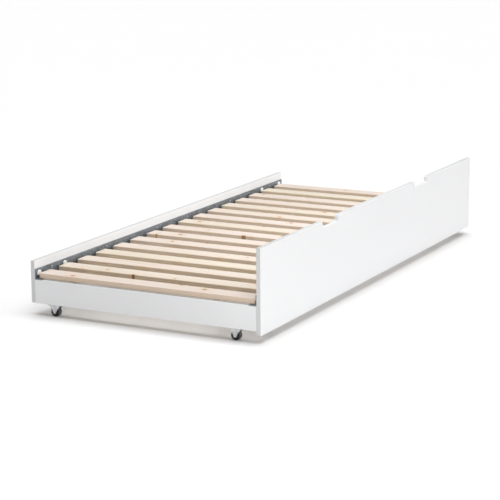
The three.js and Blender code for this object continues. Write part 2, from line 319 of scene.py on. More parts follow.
@dataclass(frozen=True)
class Finish:
    """A surface finish. A subclass says how it looks in surface()."""

    slot: Slot

    def surface(self, shop: NodeShop) -> Surface:
        """Returns the finish's look. Each subclass has its own."""
        raise NotImplementedError

    def material(self) -> bpy.types.Material:
        """Makes the finish's material.

        Returns:
            The material, with its shader and output joined.
        """
        material = bpy.data.materials.new(f"{self.slot.value}_{type(self).__name__.lower()}")
        shop = NodeShop(material)
        look = self.surface(shop)
        sockets: dict[int | str, Value] = {
            "Base Color": look.color,
            "Roughness": look.roughness,
            "Metallic": look.metallic,
            "Specular IOR Level": look.specular,
            "Coat Weight": look.coat,
        }
        if look.height is not None:
            bump = {"Height": look.height, "Distance": look.relief, "Strength": 1.0}
            sockets["Normal"] = shop.wire("ShaderNodeBump", None, bump)
        shader = shop.node("ShaderNodeBsdfPrincipled", None, sockets)
        output = shop.node("ShaderNodeOutputMaterial")
        shop.tree.links.new(shader.outputs[0], output.inputs[0])
        return material


@dataclass(frozen=True)
class PaintedBoard(Finish):
    """Fibreboard under sprayed and rolled white satin paint, a little scuffed near the floor."""

    slot: Slot = Slot.WHITE_PAINT
    paint: tuple[float, float, float] = (0.885, 0.887, 0.895)
    edge: tuple[float, float, float] = (0.61, 0.61, 0.607)  # the darker edge colour: a thinner coat on sawn edges, with painted shade on upward faces and grip floors
    scuff: tuple[float, float, float] = (0.70, 0.69, 0.67)
    scuff_top: float = 0.075  # scuffs thin out up to this height above the floor

    def surface(self, shop: NodeShop) -> Surface:
        """Returns white paint with an orange-peel skin, faint clouding and floor scuffs."""
        place = shop.place()
        clouds = shop.noise(place, 3.5, 3.0)
        peel = shop.noise(place, 620.0, 2.0)
        roller = shop.noise(shop.spread(place, (30.0, 30.0, 260.0)), 1.0, 2.0)
        streaks = shop.noise(shop.spread(place, (14.0, 14.0, 170.0)), 1.0, 4.0, 0.7)
        _, _, height = shop.parts(place)
        low = height.step(self.scuff_top, self.scuff_top / 3.0)
        worn = streaks.step(0.60, 0.74) * low * 0.5
        white = shop.blend(clouds, rgb(*(c * 0.985 for c in self.paint)), rgb(*self.paint))
        # the edge mask: a thinner coat on sawn edges mixed with painted shade on upward faces and
        # grip floors
        sawn_and_shade, _, _ = shop.parts(shop.attribute("sawn_edge"))
        fuzz = shop.noise(place, 240.0, 4.0, 0.65)
        coat = shop.blend(sawn_and_shade * (0.8 + fuzz * 0.4), white, rgb(*self.edge))
        color = shop.blend(worn, coat, rgb(*self.scuff))
        roughness = 0.36 + clouds * 0.08 + peel * 0.05 + worn * 0.3 + sawn_and_shade * 0.12
        height = peel * 0.7 + roller * 0.3 + sawn_and_shade * fuzz
        return Surface(color, roughness, height=height, relief=0.00006)


@dataclass(frozen=True)
class Pine(Finish):
    """Sanded softwood: growth rings cut at each board's own angle, fibres, pores and knots."""

    slot: Slot = Slot.PINE
    early: tuple[float, float, float] = (0.71, 0.64, 0.53)
    rosy: tuple[float, float, float] = (0.715, 0.62, 0.575)
    late: tuple[float, float, float] = (0.57, 0.43, 0.28)
    edge: tuple[float, float, float] = (1.07, 1.0, 0.89)  # what a side face's colour is times: the tone of sawn grain, with painted warm bounce light
    knot: tuple[float, float, float] = (0.24, 0.13, 0.07)
    halo: tuple[float, float, float] = (0.70, 0.44, 0.22)  # the resin-stained wood round a knot
    ring_gap: float = 0.0052
    ring_sway: float = 0.016
    pith_aside: float = 0.11  # the range, sideways, of the trunk's middle under a board
    pith_drift: float = 0.035  # how far it can wander for each metre of board
    pith_below: Point2 = (0.012, 0.055)  # its least depth, and what a board's draw can add
    late_share: float = 0.62
    knot_cells: float = 9.5  # knot cells in a metre of board
    knot_share: float = 0.38  # part of the cells that stay clear
    knot_radius: Point2 = (0.0034, 0.0060)  # the least, and what a knot's draw can add
    knot_swell: float = 0.009  # how far the rings swerve round a knot

    def surface(self, shop: NodeShop) -> Surface:
        """Returns bare pine, from the board's own coordinates and its random draw."""
        board = shop.attribute("board_xyz")
        draw = shop.attribute("board_draw")
        across, along, up = shop.parts(board)
        first, second, third = shop.parts(draw)
        shift = shop.spread(draw, (9.0, 9.0, 9.0))

        gap, near = self._knots(shop, across, along, first, second)
        sway = shop.noise(shop.spread(board, (8.0, 1.7, 8.0), shift), 1.0, 3.0) - 0.5
        sideways = across - (first - 0.5) * self.pith_aside
        sideways = sideways - along * (third - 0.5) * self.pith_drift
        least, more = self.pith_below
        below = up + least + second * more
        radius = (sideways * sideways + below * below).root()
        radius = radius + sway * self.ring_sway + near * self.knot_swell
        band = shop.wire(
            "ShaderNodeValToRGB",
            {"stops": [(0.0, 0.1), (0.5, 0.18), (0.86, 1.0), (0.93, 0.9), (1.0, 0.1)]},
            {0: (radius / self.ring_gap).fraction()},
        )
        latewood = band * self.late_share

        fibre = shop.noise(shop.spread(board, (520.0, 11.0, 520.0), shift), 1.0, 3.0, 0.6)
        patches = shop.noise(shop.spread(board, (14.0, 3.0, 14.0), shift), 1.0, 2.0)
        wood = shop.blend(third, rgb(*self.early), rgb(*self.rosy))
        wood = shop.blend(latewood * (0.45 + patches * 0.5), wood, rgb(*self.late))
        wood = shop.blend(fibre.step(0.52, 0.80) * 0.30, wood, rgb(*self.late))
        wood = shop.blend(near * 0.38, wood, rgb(*self.halo))
        # painted light on sawn grain: faces looking along X, the slats' long sides, are warmed as
        # if by light bouncing between slats
        wood = shop.tinted(wood, self.edge, shop.facing(0))
        wood = shop.blend(gap, wood, rgb(*self.knot))
        height = latewood * 0.5 + fibre * 0.5 - gap * 0.6
        roughness = 0.60 + fibre * 0.12 - latewood * 0.10 - gap * 0.15
        return Surface(wood, roughness, height=height, relief=0.00022, specular=0.35)

    def _knots(
        self, shop: NodeShop, across: Wire, along: Wire, first: Wire, second: Wire
    ) -> tuple[Wire, Wire]:
        """Scatters knots over a board.

        Args:
            shop: the material's node maker.
            across: the place across the board.
            along: the place along the board.
            first: the board's first random number.
            second: the board's second random number.

        Returns:
            How far a point is inside a knot, and how near it is to one, each from 0 to 1.
        """
        flat = shop.vector(across + first * 5.3, along * 0.8 + second * 7.9, 0.0)
        cells = shop.node(
            "ShaderNodeTexVoronoi",
            {"voronoi_dimensions": "2D"},
            {"Vector": flat, "Scale": self.knot_cells},
        )
        distance = Wire(shop, cells.outputs["Distance"]) / self.knot_cells
        pick, size, _ = shop.parts(Wire(shop, cells.outputs["Color"]))
        kept = pick.step(self.knot_share, self.knot_share + 0.01)
        least, more = self.knot_radius
        edge = least + size * more
        inside = distance.step(edge, edge * 0.72) * kept
        rings = 0.62 + (distance * 3800.0).wave() * 0.38
        reach = distance / (edge * 1.9)
        return inside * rings, kept / (1.0 + reach * reach * reach)


@dataclass(frozen=True)
class AngleSteel(Finish):
    """Galvanised strip: bluish grey with a fine spangle and rolling marks along its length."""

    slot: Slot = Slot.RAIL_STEEL
    light: tuple[float, float, float] = (0.36, 0.39, 0.42)
    dark: tuple[float, float, float] = (0.20, 0.22, 0.24)

    def surface(self, shop: NodeShop) -> Surface:
        """Returns dull galvanised steel."""
        place = shop.place()
        cells = {"Vector": place, "Scale": 170.0}
        spangle, _, _ = shop.parts(shop.wire("ShaderNodeTexVoronoi", None, cells, "Color"))
        rolled = shop.noise(shop.spread(place, (3.0, 420.0, 420.0)), 1.0, 3.0, 0.6)
        stains = shop.noise(place, 16.0, 4.0, 0.6)
        mix = spangle * 0.35 + rolled * 0.35 + stains * 0.3
        color = shop.blend(mix.step(0.25, 0.75), rgb(*self.dark), rgb(*self.light))
        roughness = 0.38 + spangle * 0.10 + stains * 0.14
        return Surface(color, roughness, 0.75, rolled, 0.00003)


@dataclass(frozen=True)
class ZincPlate(Finish):
    """Bright zinc plating on pressed or cast fittings, with fine scratches and dull patches."""

    slot: Slot = Slot.ZINC_PLATE
    bright: tuple[float, float, float] = (0.66, 0.67, 0.68)
    dull: tuple[float, float, float] = (0.48, 0.485, 0.49)

    def surface(self, shop: NodeShop) -> Surface:
        """Returns zinc plate."""
        place = shop.place()
        patches = shop.noise(place, 90.0, 4.0, 0.6)
        scratches = shop.noise(shop.spread(place, (260.0, 2600.0, 900.0)), 1.0, 2.0, 0.7)
        color = shop.blend(patches.step(0.35, 0.65), rgb(*self.dull), rgb(*self.bright))
        roughness = 0.26 + patches * 0.16 + scratches * 0.10
        return Surface(color, roughness, 0.85, scratches, 0.00002)


@dataclass(frozen=True)
class MouldedNylon(Finish):
    """Satin moulded plastic with a fine spark-eroded grain."""

    slot: Slot = Slot.WHITE_NYLON
    tint: tuple[float, float, float] = (0.90, 0.90, 0.88)

    def surface(self, shop: NodeShop) -> Surface:
        """Returns plastic of this tint."""
        place = shop.place()
        flow = shop.noise(place, 60.0, 3.0)
        grain = shop.noise(place, 2600.0, 2.0)
        shade = rgb(*(c * 0.93 for c in self.tint))
        color = shop.blend(flow.step(0.3, 0.7), shade, rgb(*self.tint))
        return Surface(color, 0.34 + flow * 0.12 + grain * 0.06, height=grain, relief=0.00003)


@dataclass(frozen=True)
class Rubber(Finish):
    """Black rubber tread, dusted grey where it rolls on the floor."""

    slot: Slot = Slot.BLACK_TYRE
    black: tuple[float, float, float] = (0.011, 0.011, 0.012)
    dust: tuple[float, float, float] = (0.21, 0.208, 0.204)
    radius: float = 0.0175

    def surface(self, shop: NodeShop) -> Surface:
        """Returns rubber, with its dust on the tread only."""
        radius, lateral, wave = shop.parts(shop.attribute("wheel_polar"))
        tread = radius.step(self.radius - 0.0016, self.radius - 0.0003)
        spun = shop.vector(lateral * 900.0, wave * 16.0, radius * 900.0)
        speckle = shop.noise(spun, 1.0, 4.0, 0.7)
        dusty = (tread * 0.82 + 0.03) * speckle.step(0.22, 0.62)
        color = shop.blend(dusty, rgb(*self.black), rgb(*self.dust))
        return Surface(color, 0.55 + speckle * 0.2 + dusty * 0.15, height=speckle, relief=0.00004)


@dataclass(frozen=True)
class Webbing(Finish):
    """Woven polyester strap: a twill of fine yarns between two selvedges."""

    slot: Slot = Slot.WEBBING
    yarn: tuple[float, float, float] = (0.80, 0.78, 0.71)
    gap: tuple[float, float, float] = (0.46, 0.44, 0.39)
    pitch: float = 0.0013

    def surface(self, shop: NodeShop) -> Surface:
        """Returns the weave, drawn along X and across Y."""
        x, y, _ = shop.parts(shop.place())
        turn = 2.0 * math.pi / self.pitch
        twill = ((x + y) * turn).wave() * ((x - y) * (turn * 0.5)).wave()
        yarns = (y * (turn * 1.5)).wave()
        weave = twill * 0.7 + yarns * 0.3
        fuzz = shop.noise(shop.place(), 900.0, 3.0, 0.6)
        color = shop.blend(weave.step(0.1, 0.5), rgb(*self.gap), rgb(*self.yarn))
        return Surface(color, 0.82 + fuzz * 0.12, height=weave + fuzz * 0.3, relief=0.00025)


@dataclass(frozen=True)
class StudioFloor(Finish):
    """The pale seamless floor that the bed stands on. It isn't part of the bed."""

    slot: Slot = Slot.WHITE_PAINT
    pale: tuple[float, float, float] = (0.93, 0.93, 0.93)

    def surface(self, shop: NodeShop) -> Surface:
        """Returns matt white with a very faint cloud."""
        cloud = shop.noise(shop.place(), 0.8, 2.0)
        shade = rgb(*(c * 0.995 for c in self.pale))
        return Surface(shop.blend(cloud, shade, rgb(*self.pale)), 0.9, specular=0.1)


class Palette:
    """Makes each finish's material once and keeps it."""

    def __init__(self) -> None:
        """Starts with no materials."""
        self._made: dict[Finish, bpy.types.Material] = {}

    def __getitem__(self, finish: Finish) -> bpy.types.Material:
        """Returns the finish's material."""
        if finish not in self._made:
            self._made[finish] = finish.material()
        return self._made[finish]


PALETTE = Palette()
WHITE = PaintedBoard()
PINE = Pine()
STEEL = AngleSteel()
ZINC = ZincPlate()
NYLON = MouldedNylon()
BLACK_NYLON = MouldedNylon(Slot.DARK_NYLON, (0.035, 0.035, 0.038))
RUBBER = Rubber()
WEBBING = Webbing()


# ------------------------------------------------------------------------------ solids
def arc(centre: Point2, radius: float, start: float, end: float, steps: int) -> list[Point2]:
    """Walks along an arc.

    Args:
        centre: the arc's centre.
        radius: its radius.
        start: the first point's angle, in degrees.
        end: the last point's angle, in degrees.
        steps: the number of straight steps.

    Returns:
        steps + 1 points, both ends included.
    """
    angles = (math.radians(start + (end - start) * i / steps) for i in range(steps + 1))
    return [(centre[0] + radius * math.cos(a), centre[1] + radius * math.sin(a)) for a in angles]


def rounded_outline(low: Point2, high: Point2, radius: float, steps: int = 6) -> list[Point2]:
    """Returns a rectangle's outline, anticlockwise, with its four corners rounded."""
    (u0, v0), (u1, v1) = low, high
    r = radius
    return [
        *arc((u1 - r, v0 + r), r, -90, 0, steps),
        *arc((u1 - r, v1 - r), r, 0, 90, steps),
        *arc((u0 + r, v1 - r), r, 90, 180, steps),
        *arc((u0 + r, v0 + r), r, 180, 270, steps),
    ]


class Solid:
    """A closed mesh under construction."""

    def __init__(self, mesh: bmesh.types.BMesh | None = None) -> None:
        """Starts from a mesh, or from nothing."""
        self.mesh = mesh or bmesh.new()

    @classmethod
    def prism(cls, outline: Sequence[Point2], plane: Plane, low: float, high: float) -> Solid:
        """Extrudes an outline.

        Args:
            outline: the (u, v) points of the outline.
            plane: the plane it is drawn in.
            low: where the extrusion starts.
            high: where it ends.

        Returns:
            The closed solid.
        """
        rings = []
        for depth in (low, high):
            rings.append([cls._at(plane, u, v, depth) for u, v in outline])
        return cls.loft(rings)

    @staticmethod
    def _at(plane: Plane, u: float, v: float, depth: float) -> Vector:
        """Returns the point at (u, v) in the plane, at that depth."""
        point = Vector((0.0, 0.0, 0.0))
        for axis, value in zip(plane.value, (u, v, depth)):
            point[axis] = value
        return point

    @classmethod
    def loft(cls, rings: Sequence[Sequence[Vector]]) -> Solid:
        """Joins rings of equally many points by a skin, and caps both ends."""
        made = cls()
        loops = [[made.mesh.verts.new(point) for point in ring] for ring in rings]
        count = len(loops[0])
        for near, far in zip(loops, loops[1:]):
            for i in range(count):
                j = (i + 1) % count
                made.mesh.faces.new((near[i], near[j], far[j], far[i]))
        made.mesh.faces.new(list(reversed(loops[0])))
        made.mesh.faces.new(loops[-1])
        return made.faced_out()

    @classmethod
    def turned(cls, profile: Sequence[Point2], centre: Vector, steps: int = 96) -> Solid:
        """Turns a profile about the X axis through a centre.

        Args:
            profile: (radius, x) points. An open profile ends on the axis; a closed one, whose
                first point is also its last, makes a ring.
            centre: where the axis and x = 0 meet.
            steps: the number of sides of each circle.

        Returns:
            The closed solid.
        """
        made = cls()
        closed = profile[0] == profile[-1]
        kept = profile[:-1] if closed else profile
        loops = [made._circle(radius, x, centre, steps) for radius, x in kept]
        pairs = list(zip(loops, loops[1:]))
        if closed:
            pairs.append((loops[-1], loops[0]))
        for near, far in pairs:
            made._skin(near, far, steps)
        return made.faced_out()

    def _circle(self, radius: float, x: float, centre: Vector, steps: int) -> Ring:
        """Adds a circle about X, or one point where the radius is 0."""
        if radius == 0.0:
            return [self.mesh.verts.new(centre + Vector((x, 0.0, 0.0)))]
        angles = (2.0 * math.pi * i / steps for i in range(steps))
        offsets = ((x, radius * math.sin(a), -radius * math.cos(a)) for a in angles)
        return [self.mesh.verts.new(centre + Vector(offset)) for offset in offsets]

    def _skin(self, near: Ring, far: Ring, steps: int) -> None:
        """Joins two circles, either of which may be a single point."""
        for i in range(steps):
            j = (i + 1) % steps
            spots = ((near, i), (near, j), (far, j), (far, i))
            corners = (ring[step % len(ring)] for ring, step in spots)
            self.mesh.faces.new(tuple(dict.fromkeys(corners)))

    def faced_out(self) -> Solid:
        """Turns every face outwards and returns the solid."""
        bmesh.ops.recalc_face_normals(self.mesh, faces=self.mesh.faces)
        return self

    def softened(self, width: float, steps: int = 2, over: float = 40.0) -> Solid:
        """Rounds the edges that turn by more than `over` degrees, and returns the solid."""
        limit = math.radians(over)
        edges = [e for e in self.mesh.edges if e.is_manifold and e.calc_face_angle(0.0) > limit]
        bmesh.ops.bevel(
            self.mesh,
            geom=edges,
            offset=width,
            offset_type="OFFSET",
            segments=steps,
            profile=0.5,
            affect="EDGES",
            clamp_overlap=True,
        )
        return self

    def moved(self, matrix: Matrix) -> Solid:
        """Moves the solid by a matrix and returns it."""
        bmesh.ops.transform(self.mesh, matrix=matrix, verts=self.mesh.verts)
        return self

    def copy(self) -> Solid:
        """Returns a separate copy."""
        return Solid(self.mesh.copy())

    def taking(self, others: Iterable[Solid]) -> Solid:
        """Adds other solids beside this one, without joining them, and returns it."""
        for other in others:
            data = bpy.data.meshes.new("taken")
            other.mesh.to_mesh(data)
            self.mesh.from_mesh(data)
            bpy.data.meshes.remove(data)
        return self

    def _object(self, name: str) -> bpy.types.Object:
        """Puts the mesh into a new object of the scene."""
        data = bpy.data.meshes.new(name)
        self.mesh.to_mesh(data)
        made = bpy.data.objects.new(name, data)
        bpy.context.scene.collection.objects.link(made)
        return made

    def combined(self, other: Solid, cut: Cut) -> Solid:
        """Combines two solids.

        Args:
            other: the solid to cut with, or to join.
            cut: how the two are combined.

        Returns:
            A new solid.
        """
        target, tool = self._object("cut_target"), other._object("cut_tool")
        modifier = target.modifiers.new("cut", "BOOLEAN")
        modifier.object = tool
        modifier.operation = cut.value
        modifier.solver = "EXACT"
        depsgraph = bpy.context.evaluated_depsgraph_get()
        result = bpy.data.meshes.new_from_object(target.evaluated_get(depsgraph))
        made = Solid()
        made.mesh.from_mesh(result)
        bpy.data.meshes.remove(result)
        for spent in (target, tool):
            data = spent.data
            bpy.data.objects.remove(spent)
            bpy.data.meshes.remove(data)
        return made

    def piece(
        self, name: str, finish: Finish, body: str = BED_BODY, replaces: Iterable[str] = ()
    ) -> bpy.types.Object:
        """Finishes the solid as a piece of the bed.

        Args:
            name: the piece's name.
            finish: its surface.
            body: the body that it moves with.
            replaces: the CAD nodes that it stands for.

        Returns:
            The object, shaded smooth with sharp creases, riding on its body.
        """
        made = self._object(name)
        self.mesh.free()
        made.data.materials.append(PALETTE[finish])
        made.data.shade_smooth()
        made.data.set_sharp_from_angle(angle=CREASE)
        weighted = made.modifiers.new("even_shading", "WEIGHTED_NORMAL")
        weighted.keep_sharp = True
        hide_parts(*replaces)
        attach(made, body)
        LOG.info("%s: %d faces on body %s", name, len(made.data.polygons), body)
        return made


def mark_points(piece: bpy.types.Object, name: str, values: Iterable[Sequence[float]]) -> None:
    """Stores a vector on each point of a piece, for its material to read."""
    layer = piece.data.attributes.new(name, "FLOAT_VECTOR", "POINT")
    for item, value in zip(layer.data, values):
        item.vector = value


def mark_edge_coat_and_shade(piece: bpy.types.Object, face_axis: int) -> None:
    """Tells a panel's paint which of its faces are sawn edges, how thin their coat is, and where
    painted shade darkens them.

    Args:
        piece: the panel.
        face_axis: the axis that its two broad faces look along.
    """
    low, high = Vector(piece.bound_box[0]), Vector(piece.bound_box[6])
    span_axes = [axis for axis in range(3) if axis != face_axis]
    layer = piece.data.attributes.new("sawn_edge", "FLOAT_VECTOR", "FACE")
    for item, polygon in zip(layer.data, piece.data.polygons):
        spot, normal = polygon.center, polygon.normal
        inset = min(min(spot[axis] - low[axis], high[axis] - spot[axis]) for axis in span_axes)
        across = min(1.0, EDGE_COAT_ONSET * (1.0 - abs(normal[face_axis])))
        # painted shade: upward faces get the darkest edge colour, grip floors share it, and grip
        # walls keep full white paint
        upward = max(0.0, normal.z)
        rim = EDGE_COAT_AND_SHADE["end"] + (EDGE_COAT_AND_SHADE["top"] - EDGE_COAT_AND_SHADE["end"]) * upward
        thin_coat_and_shade = rim if inset < EDGE_COAT_REACH else EDGE_COAT_AND_SHADE["grip"] * upward
        item.vector = (across * thin_coat_and_shade, 0.0, 0.0)


def mark_board(piece: bpy.types.Object, middle: Vector, draw: random.Random) -> None:
    """Gives a wooden board its own coordinates and its random numbers.

    Args:
        piece: the board, lying along Y.
        middle: its centre.
        draw: the source of its random numbers.
    """
    points = [vertex.co - middle for vertex in piece.data.vertices]
    numbers = (draw.random(), draw.random(), draw.random())
    mark_points(piece, "board_xyz", points)
    mark_points(piece, "board_draw", [numbers] * len(points))


def eased_board(box: Corners, round_edge: float, bow: float = 0.0, stations: int = 24) -> Solid:
    """Makes a board along Y with rounded long edges and rounded ends.

    Args:
        box: the board's lowest and highest corners.
        round_edge: the radius of its long edges.
        bow: how far its middle dips.
        stations: the number of steps along its length.

    Returns:
        The solid.
    """
    low, high = box
    end_round = 0.6 * round_edge
    end_steps = 4
    length = high.y - low.y
    places: list[tuple[float, float]] = []  # distance from the low end, inset of the section
    for i in range(end_steps):
        turn = 0.5 * math.pi * i / end_steps
        places.append((end_round * (1.0 - math.cos(turn)), end_round * (1.0 - math.sin(turn))))
    straight = length - 2 * end_round
    places += [(end_round + straight * i / stations, 0.0) for i in range(stations + 1)]
    places += [(length - along, inset) for along, inset in reversed(places[:end_steps])]
    rings = []
    for along, inset in places:
        dip = bow * math.sin(math.pi * along / length)
        outline = rounded_outline(
            (low.x + inset, low.z + inset), (high.x - inset, high.z - inset), round_edge, 5
        )
        rings.append([Vector((x, low.y + along, z - dip)) for x, z in outline])
    return Solid.loft(rings)


# ------------------------------------------------------------------------------ panels
@dataclass
class Panels:
    """The four painted boards of the frame."""

    arris: float = 1.2 * MM
    grip_width: float = 134 * MM
    grip_depth: float = 25 * MM
    grip_round: float = 12 * MM
    round_steps: int = 12
    rail_gap: float = 0.3 * MM
    cam_gap: float = 0.4 * MM
    bore_mouth: float = 5 * MM  # how far a cam bore's cutter sticks out of the board

    def build(self) -> None:
        """Builds the front, rear and end panels."""
        self._front()
        self._plain("rear_panel")
        for end in ("near", "far"):
            self._end(end)

    def _grips(self) -> list[float]:
        """Returns the middle of each hand grip, from the record's openings, high X first."""
        openings = frame["record"]["physics"]["openings"]
        grips = [o["box_m"] for o in openings if o["name"].startswith("hand_grip")]
        return sorted(((low[0] + high[0]) / 2 for low, high in grips), reverse=True)

    def _front(self) -> None:
        """Builds the tall panel with its two hand grips."""
        low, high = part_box("front_panel")
        r, steps = self.grip_round, self.round_steps
        floor = high.z - self.grip_depth
        outline: list[Point2] = [(low.x, low.z), (high.x, low.z), (high.x, high.z)]
        for middle in self._grips():
            right, left = middle + self.grip_width / 2, middle - self.grip_width / 2
            outline += arc((right + r, high.z - r), r, 90, 180, steps)
            outline += arc((right - r, floor + r), r, 0, -90, steps)
            outline += arc((left + r, floor + r), r, -90, -180, steps)
            outline += arc((left - r, high.z - r), r, 0, 90, steps)
        outline.append((low.x, high.z))
        board = Solid.prism(outline, Plane.XZ, low.y, high.y)
        board.softened(self.arris, 3)
        mark_edge_coat_and_shade(board.piece("painted_front_panel", WHITE, replaces=["front_panel"]), 1)

    def _plain(self, node: str) -> None:
        """Builds a rectangular panel."""
        low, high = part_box(node)
        corners = [(low.x, low.z), (high.x, low.z), (high.x, high.z), (low.x, high.z)]
        board = Solid.prism(corners, Plane.XZ, low.y, high.y)
        board.softened(self.arris, 3)
        mark_edge_coat_and_shade(board.piece(f"painted_{node}", WHITE, replaces=[node]), 1)

    def _end(self, end: str) -> None:
        """Builds an end panel, stepped for the rails and bored for the cams."""
        node = f"end_panel_{end}"
        low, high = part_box(node)
        rail_low, rail_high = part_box("rear_rail")
        step_y, step_z = rail_low.y - self.rail_gap, rail_low.z - self.rail_gap
        outline = [
            (low.y, low.z),
            (high.y, low.z),
            (high.y, step_z),
            (step_y, step_z),
            (step_y, high.z),
            (-step_y, high.z),
            (-step_y, step_z),
            (low.y, step_z),
        ]
        board = Solid.prism(outline, Plane.YZ, low.x, high.x).softened(self.arris, 3)
        for side in ("front", "rear"):
            board = board.combined(self._cam_bore(f"cam_{end}_{side}"), Cut.AWAY)
        mark_edge_coat_and_shade(board.piece(f"painted_{node}", WHITE, replaces=[node]), 0)

    def _cam_bore(self, cam: str) -> Solid:
        """Returns the cutter for one cam's bore."""
        low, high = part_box(cam)
        middle = (low + high) / 2
        radius = (high.z - low.z) / 2 + self.cam_gap
        outward = math.copysign(1.0, middle.x)
        deep = max(abs(low.x), abs(high.x)) + self.cam_gap
        open_end = min(abs(low.x), abs(high.x)) - self.bore_mouth
        ends = sorted((outward * deep - middle.x, outward * open_end - middle.x))
        profile = [(0.0, ends[0]), (radius, ends[0]), (radius, ends[1]), (0.0, ends[1])]
        return Solid.turned(profile, middle, 48)


# ------------------------------------------------------------------------------ screws
@dataclass
class ScrewHead:
    """A pan head with a cross recess, made pointing along +X and turned to where it goes."""

    radius: float = 3.9 * MM
    height: float = 2.0 * MM
    recess: float = 1.3 * MM
    slot_width: float = 1.0 * MM
    slot_share: float = 0.62  # the recess's reach as a share of the head's radius
    slot_corner: float = 0.3 * MM
    rim: float = 0.25  # the rim's height as a share of the head's

    def solid(self) -> Solid:
        """Returns the head, its flat side at the origin."""
        dome = [
            (self.radius * math.cos(a), self.height * (self.rim + (1.0 - self.rim) * math.sin(a)))
            for a in (math.radians(d) for d in range(0, 90, 15))
        ]
        profile = [(0.0, 0.0), (self.radius, 0.0), *dome, (0.0, self.height)]
        head = Solid.turned(profile, Vector((0.0, 0.0, 0.0)), 24)
        reach, half = self.slot_share * self.radius, self.slot_width / 2
        bottom = self.height - self.recess
        for turn in (0.0, 90.0):
            bar = rounded_outline((-reach, -half), (reach, half), self.slot_corner, 2)
            slot = Solid.prism(bar, Plane.YZ, bottom, 2 * self.height)
            slot.moved(Matrix.Rotation(math.radians(turn), 4, "X"))
            head = head.combined(slot, Cut.AWAY)
        return head

    def placed(self, spots: Sequence[Vector], facing: Vector) -> Solid:
        """Copies the head to several places.

        Args:
            spots: where each head's flat side lies.
            facing: the way that the heads point.

        Returns:
            All of them, as one mesh.
        """
        pattern = self.solid()
        turn = Vector((1.0, 0.0, 0.0)).rotation_difference(facing).to_matrix().to_4x4()
        made = Solid()
        made.taking(pattern.copy().moved(Matrix.Translation(spot) @ turn) for spot in spots)
        return made


# ------------------------------------------------------------------------------ rails
@dataclass
class Rails:
    """The two steel angles that carry the slats, and the screws that hold them."""

    steel: float = 3 * MM
    bend: float = 4 * MM
    edge: float = 0.5 * MM
    screws_in_gaps: tuple[int, ...] = (1, 4, 7, 9, 12, 15)
    screw_height: float = 26 * MM

    def build(self) -> None:
        """Builds both rails and their screws."""
        for side in ("front", "rear"):
            self._rail(side)

    def _rail(self, side: str) -> None:
        """Builds one rail. Its section has the upright at low Y and is mirrored for the rear."""
        node = f"{side}_rail"
        low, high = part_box(node)
        width, height = high.y - low.y, high.z - low.z
        inner = self.bend - self.steel
        section = [
            *arc((self.bend, self.bend), self.bend, 180, 270, 8),
            (width, 0.0),
            (width, self.steel),
            *arc((self.steel + inner, self.steel + inner), inner, 270, 180, 6),
            (self.steel, height),
            (0.0, height),
        ]
        rear = side == "rear"
        outline = [(high.y - u if rear else low.y + u, low.z + v) for u, v in section]
        rail = Solid.prism(outline, Plane.YZ, low.x, high.x).softened(self.edge, 2, 60.0)
        rail.piece(f"steel_{node}", STEEL, replaces=[node])
        face = high.y - self.steel if rear else low.y + self.steel
        facing = Vector((0.0, -1.0 if rear else 1.0, 0.0))
        spots = [Vector((x, face, low.z + self.screw_height)) for x in self._gaps()]
        ScrewHead().placed(spots, facing).piece(f"{side}_rail_screws", ZINC)

    def _gaps(self) -> list[float]:
        """Returns the middle of each gap between slats that has a screw."""
        gaps = []
        for number in self.screws_in_gaps:
            _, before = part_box(f"slat_{number:02d}")
            after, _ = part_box(f"slat_{number + 1:02d}")
            gaps.append((before.x + after.x) / 2)
        return gaps


